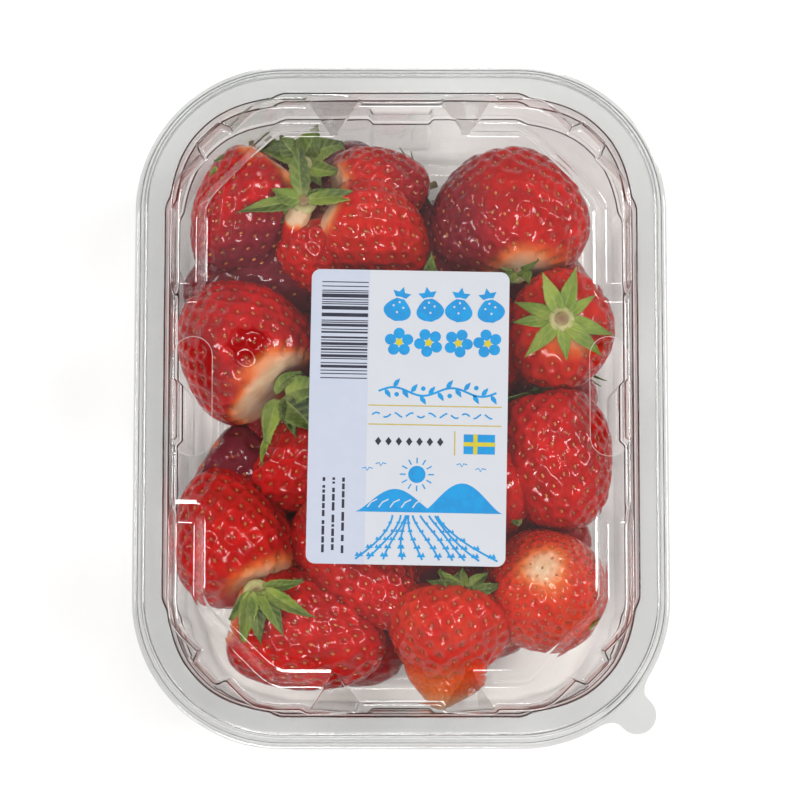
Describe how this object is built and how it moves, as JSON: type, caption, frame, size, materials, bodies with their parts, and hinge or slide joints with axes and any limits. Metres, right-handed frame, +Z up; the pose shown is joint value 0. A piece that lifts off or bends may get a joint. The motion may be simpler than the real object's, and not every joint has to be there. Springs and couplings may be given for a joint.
{
  "type": "strawberry punnet",
  "caption": "Shut clear plastic punnet with a lid that presses on over the rim, corner pull tab, side vents and a stuck-on printed label, filled to the lid with strawberries.",
  "frame": {"origin": "middle of the pack's outline, on the surface the tub stands on", "axes": "+Z up through the lid, +Y along the long side and away from the pull tab's end, +X to the right when the label is seen upright"},
  "size_m": [0.143, 0.185, 0.0516],
  "materials": {
    "clear_tub": "clear thin thermoformed sheet",
    "clear_lid": "clear thin thermoformed sheet",
    "label_paper": "white coated label with blue and ochre print",
    "berry_red": "fresh strawberry skin, red with yellow-green seeds and green leaves"
  },
  "bodies": {
    "root": {"tub": "clear_tub", "lid": "clear_lid", "label": "label_paper", "berries": "berry_red"}
  },
  "joints": []
}
